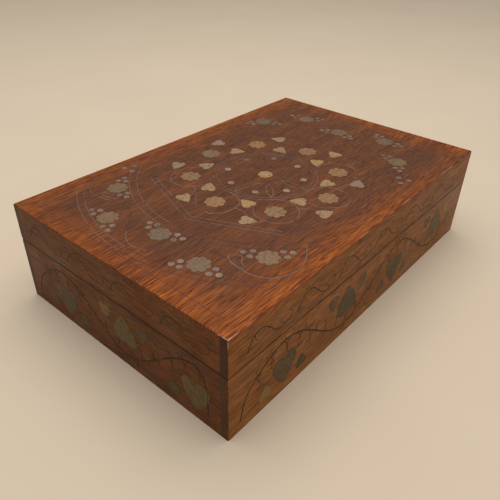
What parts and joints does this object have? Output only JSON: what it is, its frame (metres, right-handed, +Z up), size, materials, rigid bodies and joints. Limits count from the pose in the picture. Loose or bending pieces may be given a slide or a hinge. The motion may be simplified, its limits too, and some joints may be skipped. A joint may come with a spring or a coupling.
{
  "type": "inlaid wooden box",
  "caption": "Rectangular hardwood box with a hinged lid, brass flowers, hearts and dots let into the lid, and brass hearts and leaves let into the sides.",
  "frame": {"origin": "middle of the underside", "axes": "+X along the length to the right, +Y from the front to the hinged back, +Z up"},
  "size_m": [0.254, 0.1653, 0.065],
  "materials": {
    "rosewood": "satin varnish over red-brown hardwood, worn at the edges",
    "bright_brass": "polished by handling",
    "toned_brass": "dulled, finely scratched",
    "pale_brass": "pale, rubbed bright",
    "tarnished_brass": "dark olive tarnish",
    "hinge_brass": "aged, satin"
  },
  "bodies": {
    "base": {"base_front_board": "rosewood", "base_back_board": "rosewood", "base_left_board": "rosewood", "base_right_board": "rosewood", "base_bottom_panel": "rosewood", "base_front_leaf_inlay": "tarnished_brass", "base_back_leaf_inlay": "tarnished_brass", "base_left_leaf_inlay": "tarnished_brass", "base_right_leaf_inlay": "tarnished_brass", "hinge_left_base_leaf": "hinge_brass", "hinge_right_base_leaf": "hinge_brass", "hinge_left_pin": "hinge_brass", "hinge_right_pin": "hinge_brass", "base_hinge_screws": "hinge_brass"},
    "lid": {"lid_top_panel": "rosewood", "lid_front_board": "rosewood", "lid_back_board": "rosewood", "lid_left_board": "rosewood", "lid_right_board": "rosewood", "lid_centre_disc": "bright_brass", "lid_inner_hearts": "bright_brass", "lid_outer_hearts": "bright_brass", "lid_ring_flowers": "toned_brass", "lid_border_flowers": "toned_brass", "lid_inner_dots": "pale_brass", "lid_border_dots": "pale_brass", "hinge_left_lid_leaf": "hinge_brass", "hinge_right_lid_leaf": "hinge_brass", "lid_hinge_screws": "hinge_brass"}
  },
  "joints": [
    {"name": "lid_hinge", "type": "hinge", "parent": "base", "child": "lid", "pos_m": [0, 0.081, 0.042], "axis": [-1, 0, 0], "range_deg": [0, 100]}
  ]
}
